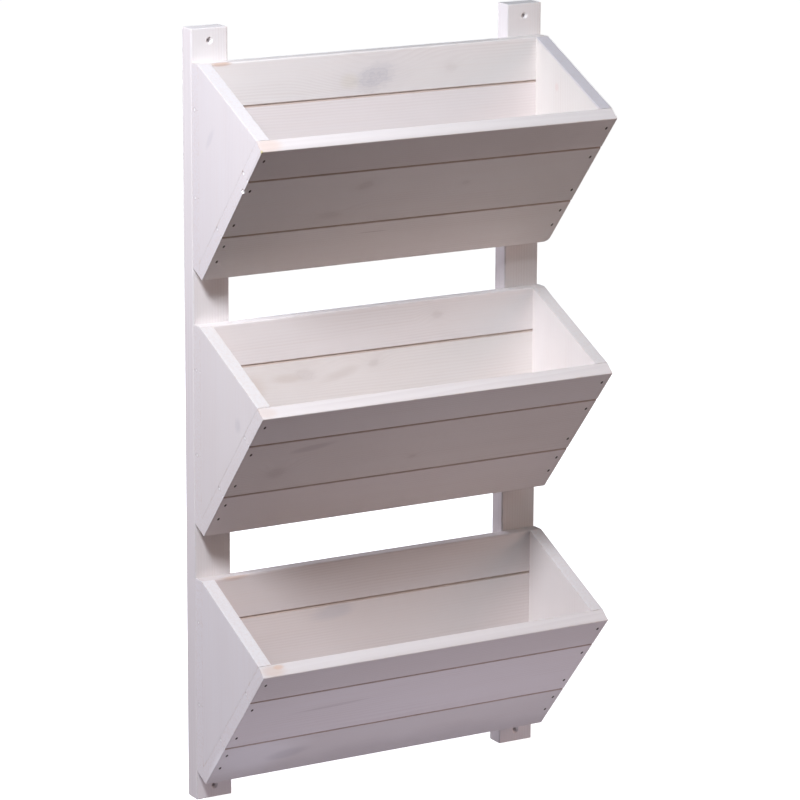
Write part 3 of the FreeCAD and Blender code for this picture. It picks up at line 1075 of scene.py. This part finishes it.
@dataclass(frozen=True)
class Studio:
    """Plain pale floor that curves up into a backdrop, soft lamps and a dim pale room."""

    lamps: tuple[SoftBox, ...]
    floor_height: float = -HALF_LENGTH
    reach: float = 30.0
    bend_from: float = 16.0
    bend_radius: float = 6.0
    lines_across: int = 24
    lines_in_bend: int = 24
    lines_along: int = 13
    paper: Colour = (0.86, 0.86, 0.86, 1.0)
    paper_glow: Colour = (1.0, 1.0, 1.0, 1.0)
    paper_roughness: float = 0.9
    room: Colour = (0.004, 0.004, 0.004, 1.0)

    def sweep(self) -> bpy.types.Object:
        """Build the floor.

        Formula: x runs from side to side. The profile runs back along the floor to where the bend
        starts, then round a quarter circle: y = start + R sin(a), z = floor + R (1 - cos(a)).

        Returns:
            The floor's object.
        """
        flat = np.linspace(-self.reach, self.bend_from, self.lines_across)
        angle = np.linspace(0.0, math.pi / 2, self.lines_in_bend + 1)[1:]
        rise = np.concatenate([np.zeros_like(flat), self.bend_radius * (1 - np.cos(angle))])
        z = rise + self.floor_height
        y = np.concatenate([flat, self.bend_from + self.bend_radius * np.sin(angle)])
        x = np.linspace(-self.reach, self.reach, self.lines_along)
        grid_x, grid_y = np.meshgrid(x, y)
        grid_z = np.broadcast_to(z[:, None], grid_x.shape)
        points = np.stack([grid_x, grid_y, grid_z], axis=-1).reshape(-1, 3)
        rows, columns = grid_x.shape
        first = (np.arange(rows - 1)[:, None] * columns + np.arange(columns - 1)).reshape(-1)
        quads = np.stack([first, first + 1, first + columns + 1, first + columns], axis=-1)
        mesh = bpy.data.meshes.new("studio_floor")
        mesh.from_pydata(points.tolist(), [], quads.tolist())
        mesh.shade_smooth()
        floor = bpy.data.objects.new("studio_floor", mesh)
        bpy.context.scene.collection.objects.link(floor)
        return floor

    def build(self) -> None:
        """Lay the floor, light the room and hang the lamps."""
        floor = self.sweep()
        recipe = Recipe("studio_paper")
        surface = recipe.surface.inputs
        surface["Base Color"].default_value = self.paper
        surface["Roughness"].default_value = self.paper_roughness
        surface["Emission Color"].default_value = self.paper_glow
        surface["Emission Strength"].default_value = 1.0
        floor.data.materials.append(recipe.material)
        floor.visible_diffuse = False
        floor.visible_glossy = False
        floor.visible_shadow = False
        for lamp in self.lamps:
            lamp.hang()
        room = bpy.data.worlds.new("studio_room")
        bpy.context.scene.world = room
        room.use_nodes = True
        room.node_tree.nodes["Background"].inputs["Color"].default_value = self.room
        bpy.context.scene.view_settings.view_transform = "Standard"


# Marks of each piece that has any. On a board, along runs to the right from its middle and across
# runs down from its upper edge. On a side panel, along runs from the rim up (left panel) or down
# (right panel), and across runs forward from the back boards.
# The glaze tones below are partly the pieces' own tones and partly painted light and shade, set
# lighter or darker piece by piece.
TOP_MARKS = {
    "back_upper_board": Marks(
        knots=(
            Knot(-0.004, 0.034, 0.032, 0.0180, 0.30, -14.0, GREY_KNOT),
            Knot(0.108, 0.030, 0.012, 0.007, 0.09),
        ),
        stains_and_painted_light=(
            StainOrPaintedLight((-0.222, 0.001, 0.0), (0.016, 0.0035, 0.004), RESIN, 0.50),
            StainOrPaintedLight((-0.040, 0.036, 0.0), (0.016, 0.012, 0.010), tone(214, 204, 176), 0.22),
        ),
        heart_across=0.16,
        glaze=tone(241, 238, 237),
    ),
    "back_middle_board": Marks(heart_across=0.20, glaze=tone(245, 239, 239)),
    "front_upper_board": Marks(
        stains_and_painted_light=(
            # Painted shade: the outer face darkened below the lighter rim, as this face looks down
            # and away from the lamps.
            StainOrPaintedLight((-0.150, 0.028, 0.0), (0.600, 0.060, 0.006), tone(198, 190, 188), 0.32),
            StainOrPaintedLight((-0.243, 0.0, 0.008), (0.022, 0.003, 0.012), BARE_PINE, 0.42),
            StainOrPaintedLight((-0.254, 0.001, 0.001), (0.0030, 0.0030, 0.0030), tone(206, 196, 120), 0.75),
            StainOrPaintedLight((-0.151, 0.0553, 0.0), (0.012, 0.0016, 0.004), tone(70, 58, 54), 0.55),
        ),
        heart_across=-0.10,
        glaze=tone(236, 232, 232),
    ),
    "front_middle_board": Marks(
        knots=(
            Knot(-0.079, 0.029, 0.013, 0.0090, 0.17, -8.0),
            Knot(-0.112, 0.082, 0.020, 0.0080, 0.13, 6.0),
            Knot(0.070, 0.044, 0.007, 0.0050, 0.12),
        ),
        heart_across=0.13,
        heart_depth=0.045,
        glaze=tone(237, 235, 235),
    ),
    "front_lower_board": Marks(
        stains_and_painted_light=(StainOrPaintedLight((-0.034, 0.020, 0.0), (0.024, 0.0014, 0.004), tone(128, 104, 92), 0.20),),
        heart_across=-0.09,
        glaze=tone(250, 248, 248),
    ),
    "left_side": Marks(
        stains_and_painted_light=(
            StainOrPaintedLight((-0.088, 0.030, 0.0), (0.020, 0.0060, 0.004), tone(150, 152, 168), 0.12, 38.0),
        ),
        glaze=tone(234, 232, 234),
    ),
    "right_side": Marks(
        stains_and_painted_light=(
            StainOrPaintedLight((0.058, 0.050, 0.018), (0.006, 0.005, 0.004), tone(226, 196, 190), 0.28),
            # Painted shade: a grey-lilac band along the sloped top of the panel, darker than the
            # lamps make it.
            StainOrPaintedLight((0.036, 0.076, 0.009), (0.250, 0.0026, 0.040), tone(176, 172, 190), 0.30, 64.96),
        ),
        glaze=tone(235, 233, 231),
    ),
}
MIDDLE_MARKS = {
    "back_upper_board": Marks(
        knots=(Knot(0.090, 0.020, 0.009, 0.006, 0.12),),
        heart_across=-0.12,
        # Painted light: a lighter glaze that lifts the top box's shadow on this board.
        glaze=tone(251, 248, 248),
    ),
    "back_middle_board": Marks(
        knots=(
            Knot(-0.104, 0.021, 0.018, 0.0090, 0.12, 10.0),
            Knot(-0.004, 0.017, 0.009, 0.0060, 0.14),
        ),
        stains_and_painted_light=(
            StainOrPaintedLight((-0.195, 0.034, 0.0), (0.040, 0.024, 0.010), tone(206, 178, 152), 0.24),
            StainOrPaintedLight((-0.052, 0.026, 0.0), (0.034, 0.0100, 0.010), tone(176, 152, 134), 0.16, -12.0),
            StainOrPaintedLight((-0.130, 0.024, 0.0), (0.030, 0.0080, 0.010), tone(196, 172, 150), 0.20, 4.0),
        ),
        heart_across=0.15,
        heart_depth=0.05,
        glaze=tone(251, 248, 246),
    ),
    "front_upper_board": Marks(
        stains_and_painted_light=(StainOrPaintedLight((-0.245, 0.0, 0.008), (0.016, 0.003, 0.010), BARE_PINE, 0.25),),
        heart_across=-0.15,
        glaze=tone(243, 239, 239),
    ),
    "front_middle_board": Marks(
        knots=(
            Knot(-0.193, 0.066, 0.015, 0.0125, 0.15, -6.0),
            Knot(0.006, 0.072, 0.006, 0.0040, 0.14),
        ),
        stains_and_painted_light=(
            StainOrPaintedLight((-0.158, 0.020, 0.0), (0.034, 0.0070, 0.010), tone(150, 130, 132), 0.20, -10.0),
        ),
        heart_across=0.13,
        heart_depth=0.05,
        glaze=tone(243, 237, 235),
    ),
    "front_lower_board": Marks(heart_across=0.16, glaze=tone(249, 243, 243)),
    "left_side": Marks(
        stains_and_painted_light=(StainOrPaintedLight((-0.105, 0.100, 0.0), (0.012, 0.010, 0.004), tone(150, 152, 164), 0.16),),
        glaze=tone(237, 235, 235),
    ),
    "right_side": Marks(glaze=tone(251, 248, 248)),
}
BOTTOM_MARKS = {
    "back_upper_board": Marks(
        stains_and_painted_light=(StainOrPaintedLight((-0.205, 0.001, 0.0), (0.030, 0.0045, 0.004), RESIN, 0.35),),
        heart_across=-0.16,
        # Painted shade: a darker glaze for the middle box's shadow on this board.
        glaze=tone(228, 223, 223),
    ),
    "back_middle_board": Marks(
        stains_and_painted_light=(
            StainOrPaintedLight((-0.060, 0.010, 0.0), (0.034, 0.0120, 0.010), tone(176, 184, 200), 0.20, -6.0),
        ),
        heart_across=0.18,
        glaze=tone(237, 231, 230),
    ),
    "front_upper_board": Marks(
        stains_and_painted_light=(
            # Painted shade: the outer face darkened below the lighter rim, as this face looks down
            # and away from the lamps.
            StainOrPaintedLight((0.0, 0.028, 0.0), (0.600, 0.060, 0.006), tone(218, 210, 206), 0.30),
            StainOrPaintedLight((-0.238, 0.0, 0.008), (0.020, 0.003, 0.010), BARE_PINE, 0.42),
            StainOrPaintedLight((-0.228, 0.0, 0.013), (0.008, 0.003, 0.004), tone(232, 180, 136), 0.34),
        ),
        heart_across=-0.13,
        glaze=tone(244, 241, 242),
    ),
    "front_middle_board": Marks(
        stains_and_painted_light=(
            StainOrPaintedLight((-0.120, 0.042, 0.0), (0.060, 0.0030, 0.004), tone(140, 124, 122), 0.16, -3.0),
        ),
        heart_across=0.12,
        heart_depth=0.07,
        # Painted light: a bluish tint in the glaze for light from below.
        glaze=tone(250, 248, 250),
    ),
    "front_lower_board": Marks(
        stains_and_painted_light=(
            # Painted light: a near-white pool at the lower left of the face.
            StainOrPaintedLight((-0.205, 0.030, 0.0), (0.080, 0.050, 0.010), tone(254, 253, 254), 0.85),
            StainOrPaintedLight((-0.150, 0.040, 0.0), (0.034, 0.014, 0.010), tone(146, 142, 152), 0.20, -8.0),
            # Painted shade: the middle and right of the face darker.
            StainOrPaintedLight((0.060, 0.080, 0.0), (0.300, 0.040, 0.010), tone(190, 184, 186), 0.22),
        ),
        heart_across=-0.12,
        # Painted light: a bluish tint in the glaze for light from below.
        glaze=tone(240, 239, 240),
    ),
    "left_side": Marks(glaze=tone(241, 240, 242)),
    "right_side": Marks(glaze=tone(251, 248, 248)),
}
TOP_RIM = HALF_LENGTH - TOP_RIM_BELOW_BATTENS
TROUGHS = (
    Trough("top", TOP_RIM, 1.0, TOP_MARKS),
    Trough("middle", TOP_RIM - BOX_PITCH, 5.0, MIDDLE_MARKS),
    Trough("bottom", TOP_RIM - 2 * BOX_PITCH, 9.0, BOTTOM_MARKS),
)
BATTEN_CENTRE = HALF_WIDTH - BATTEN_WIDTH / 2
BATTENS = (
    Batten("left_batten", -BATTEN_CENTRE, 13.0, Marks(glaze=tone(239, 237, 238))),
    Batten("right_batten", BATTEN_CENTRE, 14.0, Marks(glaze=tone(232, 231, 232))),
)
PLANTER_MIDDLE = (0.0, -0.1, 0.0)
STUDIO = Studio(
    lamps=(
        SoftBox(
            "key_lamp", place=(-1.2, -1.0, 1.5), aim=PLANTER_MIDDLE,
            width=0.4, height=0.4, power=45.3, colour=(0.909, 0.928, 1.0),
        ),
        SoftBox(
            "left_lamp", place=(-2.2, 1.6, 0.0), aim=PLANTER_MIDDLE,
            width=1.4, height=1.4, power=27.0, colour=(0.979, 0.885, 1.0),
        ),
        SoftBox(
            "right_lamp", place=(1.8, -1.2, 1.6), aim=PLANTER_MIDDLE,
            width=1.4, height=1.4, power=6.0, colour=(0.528, 0.898, 1.0),
        ),
        SoftBox(
            "right_low_lamp", place=(2.2, -1.2, 0.2), aim=PLANTER_MIDDLE,
            width=1.6, height=1.6, power=21.9, colour=(1.0, 0.707, 0.636),
        ),
        SoftBox(
            "back_lamp", place=(0.0, 2.5, 0.7), aim=PLANTER_MIDDLE,
            width=0.5, height=1.0, power=55.0, colour=(0.857, 0.870, 1.0),
        ),
        SoftBox(
            "floor_bounce", place=(0.0, -0.35, -0.62), aim=(0.0, -0.35, 1.0),
            width=1.0, height=0.5, power=1.2, colour=(0.927, 0.858, 1.0),
        ),
        SoftBox(
            "right_floor_bounce", place=(1.4, -0.6, -0.62), aim=(1.4, -0.6, 1.0),
            width=1.4, height=1.8, power=2.9, colour=(0.841, 0.972, 1.0),
        ),
    ),
)


def main() -> None:
    """Dress every piece, and set up the studio and the viewpoint."""
    logging.basicConfig(level=logging.INFO, format="%(name)s: %(message)s")
    nail = NAIL_STEEL.dress("dark_nail_steel")
    screw = SCREW_ZINC.dress("zinc_screw_steel")
    for trough in TROUGHS:
        trough.glaze_back()
        trough.glaze_front()
        trough.glaze_sides()
        trough.plate(nail, screw)
    for batten in BATTENS:
        batten.glaze()
    STUDIO.build()
    Viewpoint().set_up()


if __name__ == "__main__":
    main()
